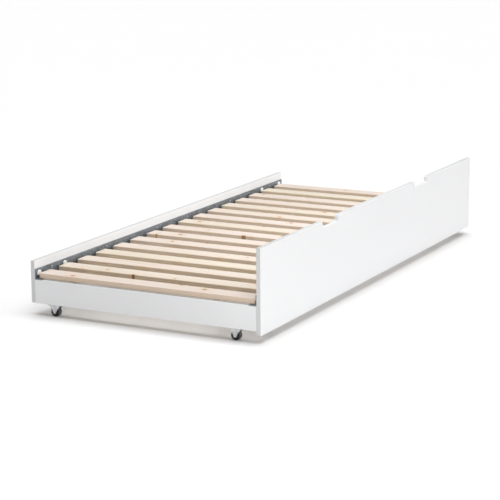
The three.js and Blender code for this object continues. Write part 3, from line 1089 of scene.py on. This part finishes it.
# ------------------------------------------------------------------------------ slat roll
@dataclass
class SlatRoll:
    """The pine slats, the straps stapled under them and the stops at their ends."""

    edge_round: float = 3 * MM
    bow_most: float = 0.5 * MM
    strap_sag: float = 1.6 * MM
    strap_edge: float = 0.45 * MM
    strap_steps: int = 6  # straight steps in each gap between slats
    staple_width: float = 10 * MM
    staple_wire: float = 0.45 * MM
    staple_skew: float = 0.18  # the most that a staple is turned, in radians
    stop_round: float = 1.6 * MM
    stop_foot: float = 3 * MM
    draw: random.Random = field(default_factory=lambda: random.Random(SEED))

    def build(self) -> None:
        """Builds the slats, then the straps and stops."""
        names = sorted(name for name in frame["nodes"] if name.startswith("slat_"))
        slats = [name for name in names if "stop" not in name]
        for node in slats:
            self._slat(node)
        for side in ("front", "rear"):
            self._strap(side, slats)
            self._staples(side, slats)
        for node in names:
            if "stop" in node:
                self._stop(node)

    def _slat(self, node: str) -> None:
        """Builds one slat with its own small bow and its own grain."""
        low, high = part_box(node)
        board = eased_board((low, high), self.edge_round, self.draw.uniform(0.0, self.bow_most))
        piece = board.piece(f"pine_{node}", PINE, replaces=[node])
        mark_board(piece, (low + high) / 2, self.draw)

    def _strap(self, side: str, slats: Sequence[str]) -> None:
        """Builds one strap, which sags a little in every gap."""
        node = f"strap_{side}"
        low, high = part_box(node)
        gaps = []
        for left, right in zip(slats, slats[1:]):
            gaps.append((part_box(left)[1].x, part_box(right)[0].x))
        places = [(low.x, 0.0)]
        for start, end in gaps:
            for i in range(self.strap_steps + 1):
                part = i / self.strap_steps
                sag = self.strap_sag * math.sin(math.pi * part)
                places.append((start + (end - start) * part, sag))
        places.append((high.x, 0.0))
        rings = []
        for x, sag in places:
            corners = (low.y, low.z - sag), (high.y, high.z - sag)
            outline = rounded_outline(*corners, self.strap_edge, 2)
            rings.append([Vector((x, y, z)) for y, z in outline])
        Solid.loft(rings).piece(f"woven_{node}", WEBBING, replaces=[node])

    def _staples(self, side: str, slats: Sequence[str]) -> None:
        """Builds the staples that hold one strap, two under each slat."""
        low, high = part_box(f"strap_{side}")
        middle = (low.y + high.y) / 2
        made = []
        for node in slats:
            slat_low, slat_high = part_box(node)
            third = (slat_high.x - slat_low.x) / 3
            for x in (slat_low.x + third, slat_high.x - third):
                skew = self.draw.uniform(-self.staple_skew, self.staple_skew)
                here = Matrix.Translation((x, middle, low.z)) @ Matrix.Rotation(skew, 4, "Z")
                made.append(self._staple().moved(here))
        Solid().taking(made).piece(f"{side}_strap_staples", ZINC)

    def _staple(self) -> Solid:
        """Returns one staple, its crown just under z = 0 and its legs going up into the wood."""
        half, wire = self.staple_width / 2, self.staple_wire
        bend = 2 * wire
        path = [(-half, bend * 2), *arc((-half + bend, bend - wire), bend, 180, 270, 4)]
        path += [*arc((half - bend, bend - wire), bend, 270, 360, 4), (half, bend * 2)]
        rings = []
        for i, (y, z) in enumerate(path):
            before, after = path[max(i - 1, 0)], path[min(i + 1, len(path) - 1)]
            along = Vector((0.0, after[0] - before[0], after[1] - before[1])).normalized()
            across = Vector((1.0, 0.0, 0.0))
            out = along.cross(across)
            ring = []
            for u, v in arc((0.0, 0.0), wire, 0, 300, 5):
                ring.append(Vector((0.0, y, z)) + across * u + out * v)
            rings.append(ring)
        return Solid.loft(rings)

    def _stop(self, node: str) -> None:
        """Builds one moulded stop with a domed top."""
        low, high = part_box(node)
        radius = (high.x - low.x) / 2
        centre = ((low.x + high.x) / 2, high.z - radius)
        foot = self.stop_foot
        outline = [
            *arc((low.x + foot, low.z + foot), foot, 180, 270, 5),
            *arc((high.x - foot, low.z + foot), foot, 270, 360, 5),
            *arc(centre, radius, 0, 180, 20),
        ]
        stop = Solid.prism(outline, Plane.XZ, low.y, high.y).softened(self.stop_round, 4)
        stop.piece(f"nylon_{node}", NYLON, replaces=[node])


# ------------------------------------------------------------------------------ castors
PLATE_SCREW = ScrewHead(radius=3.2 * MM, height=1.7 * MM, recess=1.0 * MM, slot_width=0.8 * MM)


@dataclass
class Castor:
    """A fixed castor: mounting plate, pressed fork, riveted axle, hub and tyre."""

    end: str
    side: str
    plate_steel: float = 2 * MM
    plate_corner: float = 4 * MM
    steel: float = 2 * MM
    width: float = 26 * MM
    bend: float = 3.4 * MM
    tip: float = 6.5 * MM
    waist: Point2 = (9.4 * MM, 24 * MM)  # half width and height where the leg starts to flare
    flare: Point2 = (15 * MM, 32.6 * MM)  # the flare's control point
    flare_steps: int = 12
    bore: float = 2.8 * MM
    screw_inset: Point2 = (4.0 * MM, 5.2 * MM)
    overcut: float = MM  # how far a cutter reaches past what it cuts
    edge: float = 0.35 * MM
    head_gap: float = 0.1 * MM
    shank: float = 2.4 * MM
    head: float = 4.0 * MM
    boss: float = 5.0 * MM  # radius of the hub's boss
    boss_round: float = 0.3 * MM
    web: float = 3.2 * MM  # half the thickness of the hub's web
    flange: float = 6.4 * MM  # half the width of the hub's rim
    rim: Point2 = (2.2 * MM, 1.8 * MM)  # the rim's thickness at the web and at its side
    tyre_bore: float = 11.5 * MM
    tyre_lip: tuple[Point2, ...] = ((0.0, 1.2 * MM), (0.9 * MM, 0.2 * MM), (1.8 * MM, 0.0))
    shoulder: float = 2.2 * MM
    mould_line: Point2 = (0.5 * MM, 0.2 * MM)  # half its width at the tread and at its floor
    mould_depth: float = 0.12 * MM
    dust_lobes: float = 3.0  # waves of dust round the tread, a whole number so that they close

    def build(self) -> None:
        """Builds the castor's pieces."""
        self._fork()
        self._screws()
        self._axle()
        self._hub()
        self._tyre()

    @property
    def label(self) -> str:
        """The castor's corner of the bed."""
        return f"{self.end}_{self.side}"

    def _centre(self) -> Vector:
        """Returns the middle of the wheel."""
        low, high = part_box(f"wheel_tyre_{self.label}")
        return (low + high) / 2

    def _leg_outline(self, centre: Vector, half: float, top: float) -> list[Point2]:
        """Returns the fork seen along X: flared under the plate and tapering to the axle."""
        waist_half, waist_z = self.waist
        rise = waist_z - centre.z
        reach = math.acos(self.tip / math.hypot(waist_half, rise))
        taper = math.degrees(reach - math.atan2(rise, waist_half))
        start = (half, top - self.plate_steel / 2)
        flare = []
        for i in range(self.flare_steps + 1):
            t = i / self.flare_steps
            shares = ((1 - t) ** 2, 2 * t * (1 - t), t**2)
            knots = (start, self.flare, self.waist)
            flare.append(tuple(sum(w * k[axis] for w, k in zip(shares, knots)) for axis in (0, 1)))
        tip = arc((0.0, centre.z), self.tip, -taper, -180 + taper, 16)
        right = [*flare, *tip]
        left = [(-y, z) for y, z in reversed(flare)]
        return [(centre.y + y, z) for y, z in [*right, *left]]

    def _u_section(self, centre: Vector, top: float) -> list[Point2]:
        """Returns the fork seen along Y: a U bent from strip, open at the bottom."""
        half, inner, floor = self.width / 2, self.width / 2 - self.steel, -self.overcut
        inside = self.bend - self.steel
        outer_top, inner_top = top - self.plate_steel / 2, top - self.plate_steel / 2 - self.steel
        outline = [
            (half, floor),
            *arc((half - self.bend, outer_top - self.bend), self.bend, 0, 90, 8),
            *arc((-half + self.bend, outer_top - self.bend), self.bend, 90, 180, 8),
            (-half, floor),
            (-inner, floor),
            *arc((-inner + inside, inner_top - inside), inside, 180, 90, 6),
            *arc((inner - inside, inner_top - inside), inside, 90, 0, 6),
            (inner, floor),
        ]
        return [(centre.x + x, z) for x, z in outline]

    def _fork(self) -> None:
        """Builds the plate and the fork as one pressed piece."""
        node = f"castor_fork_{self.label}"
        low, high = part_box(node)
        centre = self._centre()
        half = (high.y - low.y) / 2
        section, over = self._u_section(centre, high.z), self.overcut
        channel = Solid.prism(section, Plane.XZ, low.y - over, high.y + over)
        outline = self._leg_outline(centre, half, high.z)
        blank = Solid.prism(outline, Plane.YZ, low.x - over, high.x + over)
        fork = channel.combined(blank, Cut.COMMON)
        plate_outline = rounded_outline((low.x, low.y), (high.x, high.y), self.plate_corner, 8)
        plate = Solid.prism(plate_outline, Plane.XY, high.z - self.plate_steel, high.z)
        fork = fork.combined(plate, Cut.TOGETHER)
        reach = self.width
        profile = [(0.0, -reach), (self.bore, -reach), (self.bore, reach), (0.0, reach)]
        fork = fork.combined(Solid.turned(profile, centre, 32), Cut.AWAY)
        fork.softened(self.edge, 2, 45.0).piece(f"pressed_{node}", ZINC, replaces=[node])

    def _screws(self) -> None:
        """Builds the four screws that hold the plate, seen from below."""
        low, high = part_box(f"castor_fork_{self.label}")
        inset_x, inset_y = self.screw_inset
        z = high.z - self.plate_steel
        spots = [
            Vector((x, y, z))
            for x in (low.x + inset_x, high.x - inset_x)
            for y in (low.y + inset_y, high.y - inset_y)
        ]
        heads = PLATE_SCREW.placed(spots, Vector((0.0, 0.0, -1.0)))
        heads.piece(f"castor_screws_{self.label}", ZINC)

    def _axle(self) -> None:
        """Builds the rivet that the wheel turns on."""
        node = f"castor_axle_{self.label}"
        low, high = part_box(node)
        half = (high.x - low.x) / 2
        inner = self.width / 2 + self.head_gap
        crown = [
            (self.head * math.cos(a), inner + (half - inner) * math.sin(a))
            for a in (math.radians(d) for d in range(0, 90, 15))
        ]
        right = [(self.shank, inner), *crown, (0.0, half)]
        profile = [*[(radius, -x) for radius, x in reversed(right)], *right]
        Solid.turned(profile, self._centre(), 48).piece(f"rivet_{node}", ZINC, replaces=[node])

    def _hub(self) -> None:
        """Builds the hub: a boss on the axle, a thin web and a rim under the tyre."""
        node = f"wheel_hub_{self.label}"
        low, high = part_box(node)
        half, radius = (high.x - low.x) / 2, (high.z - low.z) / 2
        ease = self.boss_round
        side = [(self.bore, half), (self.boss - ease, half), (self.boss, half - ease)]
        side += [(self.boss + ease, self.web), (radius - self.rim[0], self.web)]
        side += [(radius - self.rim[1], self.flange), (radius, self.flange)]
        profile = [*[(radius, -x) for radius, x in side], *reversed(side)]
        profile.append(profile[0])
        hub = Solid.turned(profile, self._centre(), 72)
        hub.piece(f"moulded_{node}", BLACK_NYLON, f"wheel_{self.label}", [node])

    def _tyre(self) -> None:
        """Builds the tyre, with rounded shoulders and a fine mould line round its tread."""
        node = f"wheel_tyre_{self.label}"
        low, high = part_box(node)
        centre = self._centre()
        half, radius = (high.x - low.x) / 2, (high.z - low.z) / 2
        side = [(self.tyre_bore + out, half - inset) for out, inset in self.tyre_lip]
        bend = (half - self.shoulder, radius - self.shoulder)
        side += [(r, x) for x, r in arc(bend, self.shoulder, 0, 90, 8)]
        wide, narrow = self.mould_line
        side += [(radius, wide), (radius - self.mould_depth, narrow)]
        profile = [*[(r, -x) for r, x in side], *reversed(side)]
        profile.append(profile[0])
        tyre = Solid.turned(profile, centre, 96)
        piece = tyre.piece(f"rubber_{node}", RUBBER, f"wheel_{self.label}", [node])
        values = []  # each point's distance from the axle, its place along it, and its wave
        for vertex in piece.data.vertices:
            out = vertex.co - centre
            wave = math.cos(math.atan2(out.y, out.z) * self.dust_lobes)
            values.append((math.hypot(out.y, out.z), out.x, wave))
        mark_points(piece, "wheel_polar", values)


# ------------------------------------------------------------------------------ battens, cams
@dataclass
class EndFittings:
    """Behind each end panel: the batten that the castors are screwed to, and the corner cams."""

    batten_round: float = 1.8 * MM
    cam_edge: float = 0.4 * MM
    recess_depth: float = 2.5 * MM
    recess_long: float = 8 * MM
    recess_wide: float = 2 * MM
    recess_corner: float = 0.4 * MM
    batten_screws: int = 5
    screw_margin: float = 60 * MM
    draw: random.Random = field(default_factory=lambda: random.Random(SEED + 1))

    def build(self) -> None:
        """Builds the fittings of both ends."""
        for end in ("near", "far"):
            self._batten(end)
            for side in ("front", "rear"):
                self._cam(f"cam_{end}_{side}")
                frame["nodes"][f"cam_bolt_{end}_{side}"].data.materials[0] = PALETTE[ZINC]

    def _batten(self, end: str) -> None:
        """Builds a batten and the screws in its inner face."""
        node = f"castor_batten_{end}"
        low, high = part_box(node)
        board = eased_board((low, high), self.batten_round)
        piece = board.piece(f"pine_{node}", PINE, replaces=[node])
        mark_board(piece, (low + high) / 2, self.draw)
        inward = -math.copysign(1.0, low.x)
        face = high.x if inward > 0 else low.x
        step = (high.y - low.y - 2 * self.screw_margin) / (self.batten_screws - 1)
        first, z = low.y + self.screw_margin, (low.z + high.z) / 2
        spots = [Vector((face, first + step * i, z)) for i in range(self.batten_screws)]
        heads = ScrewHead().placed(spots, Vector((inward, 0.0, 0.0)))
        heads.piece(f"batten_screws_{end}", ZINC)

    def _cam(self, node: str) -> None:
        """Builds a cam disc with a cross recess in its visible face."""
        low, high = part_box(node)
        middle = (low + high) / 2
        radius, half = (high.z - low.z) / 2, (high.x - low.x) / 2
        edge = self.cam_edge
        rim = [(radius - edge, half), (radius, half - edge)]
        profile = [(0.0, -half), *[(r, -x) for r, x in rim], *reversed(rim), (0.0, half)]
        cam = Solid.turned(profile, middle, 48)
        inward = -math.copysign(1.0, middle.x)
        face = middle.x + inward * half
        ends = sorted((face - inward * self.recess_depth, face + inward * self.recess_depth))
        arms = (self.recess_long, self.recess_wide)
        for across, tall in (arms, arms[::-1]):
            corner_low = (middle.y - across / 2, middle.z - tall / 2)
            corner_high = (middle.y + across / 2, middle.z + tall / 2)
            slot = rounded_outline(corner_low, corner_high, self.recess_corner, 3)
            cam = cam.combined(Solid.prism(slot, Plane.YZ, *ends), Cut.AWAY)
        cam.piece(f"cast_{node}", ZINC, replaces=[node])


# ------------------------------------------------------------------------------ studio
COOL = (0.88, 0.95, 1.0)  # the tint of the light over the slats


@dataclass
class Softbox:
    """A rectangular studio light."""

    name: str
    place: tuple[float, float, float]
    aim: tuple[float, float, float]
    width: float
    height: float
    power: float
    tint: tuple[float, float, float] = (1.0, 1.0, 1.0)

    def build(self) -> None:
        """Puts the light into the scene."""
        data = bpy.data.lights.new(self.name, "AREA")
        data.shape = "RECTANGLE"
        data.size = self.width
        data.size_y = self.height
        data.energy = self.power
        data.color = self.tint
        made = bpy.data.objects.new(self.name, data)
        made.visible_camera = False
        turn = (Vector(self.aim) - Vector(self.place)).to_track_quat("-Z", "Y")
        made.matrix_world = Matrix.Translation(self.place) @ turn.to_matrix().to_4x4()
        bpy.context.scene.collection.objects.link(made)


@dataclass
class Canopy:
    """A wide diffuser, far enough away to light the floor evenly."""

    name: str
    source: tuple[float, float, float]  # the direction that it shines from
    spread: float  # the angle that it fills, in degrees
    strength: float

    def build(self) -> None:
        """Puts the light into the scene."""
        data = bpy.data.lights.new(self.name, "SUN")
        data.angle = math.radians(self.spread)
        data.energy = self.strength
        made = bpy.data.objects.new(self.name, data)
        turn = (-Vector(self.source)).to_track_quat("-Z", "Y")
        made.matrix_world = turn.to_matrix().to_4x4()
        bpy.context.scene.collection.objects.link(made)


@dataclass
class Studio:
    """Camera, floor and lights. The camera looks along the bed from its near left corner."""

    azimuth: float = -62.48
    elevation: float = 12.652
    roll: float = -0.463
    distance: float = 6.828
    target: tuple[float, float, float] = (-0.1792, 0.0, 0.1193)
    lens: float = 125.92
    sensor: float = 36.0
    floor_half: float = 40.0
    sky: tuple[float, float, float] = (1.0, 1.0, 1.0)
    sky_strength: float = 0.26

    def build(self) -> None:
        """Builds the studio."""
        scene = bpy.context.scene
        scene.view_settings.view_transform = "Standard"
        self._camera(scene)
        self._floor(scene)
        self._sky(scene)
        for light in self._lights():
            light.build()

    def _camera(self, scene: bpy.types.Scene) -> None:
        """Sets up the camera from its angles and its distance."""
        degrees = (self.azimuth, self.elevation, self.roll)
        azimuth, elevation, roll = (math.radians(angle) for angle in degrees)
        back = Vector((
            math.sin(azimuth) * math.cos(elevation),
            -math.cos(azimuth) * math.cos(elevation),
            math.sin(elevation),
        ))
        right = (-back).cross(Vector((0.0, 0.0, 1.0))).normalized()
        up = back.cross(right)
        level = Matrix((right, up, back)).transposed().to_4x4()
        data = bpy.data.cameras.new("camera")
        data.lens = self.lens
        data.sensor_width = self.sensor
        data.clip_end = 100.0
        camera = bpy.data.objects.new("camera", data)
        place = Vector(self.target) + back * self.distance
        camera.matrix_world = Matrix.Translation(place) @ level @ Matrix.Rotation(roll, 4, "Z")
        scene.collection.objects.link(camera)
        scene.camera = camera

    def _floor(self, scene: bpy.types.Scene) -> None:
        """Lays the floor, a grid of large squares."""
        mesh = bmesh.new()
        bmesh.ops.create_grid(mesh, x_segments=8, y_segments=8, size=self.floor_half)
        data = bpy.data.meshes.new("floor")
        mesh.to_mesh(data)
        mesh.free()
        data.materials.append(PALETTE[StudioFloor()])
        floor = bpy.data.objects.new("floor", data)
        scene.collection.objects.link(floor)

    def _sky(self, scene: bpy.types.Scene) -> None:
        """Gives the studio an even white surround."""
        world = bpy.data.worlds.new("surround")
        world.use_nodes = True
        background = world.node_tree.nodes["Background"]
        background.inputs["Color"].default_value = rgb(*self.sky)
        background.inputs["Strength"].default_value = self.sky_strength
        scene.world = world

    @staticmethod
    def _lights() -> list[Canopy | Softbox]:
        """Returns the lights: wide ones overhead and in front, and three boxes near the bed."""
        return [
            Canopy("overhead", (0.0, -0.18, 1.0), 60.0, 1.98),
            Canopy("rear_overhead", (0.55, 0.45, 1.0), 50.0, 0.58),
            Canopy("front_side", (0.5, -1.0, 0.35), 40.0, 0.60),
            Softbox("near_front", (-1.9, -1.6, 0.70), (-0.6, -0.46, 0.20), 0.5, 0.5, 2.2),
            Softbox("near_corner", (-1.4, -0.49, 0.25), (-1.0, -0.44, 0.16), 0.1, 0.2, 0.20),
            Softbox("over_slats", (0.05, -0.33, 0.75), (0.05, 0.45, 0.16), 1.8, 0.3, 5.0, COOL),
        ]


# ------------------------------------------------------------------------------ the bed
def main() -> None:
    """Builds the bed and its studio."""
    logging.basicConfig(level=logging.INFO, format="%(name)s: %(message)s")
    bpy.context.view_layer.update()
    Studio().build()
    Panels().build()
    Rails().build()
    SlatRoll().build()
    EndFittings().build()
    for end in ("near", "far"):
        for side in ("front", "rear"):
            Castor(end, side).build()
    bpy.context.view_layer.update()


if __name__ == "__main__":
    main()
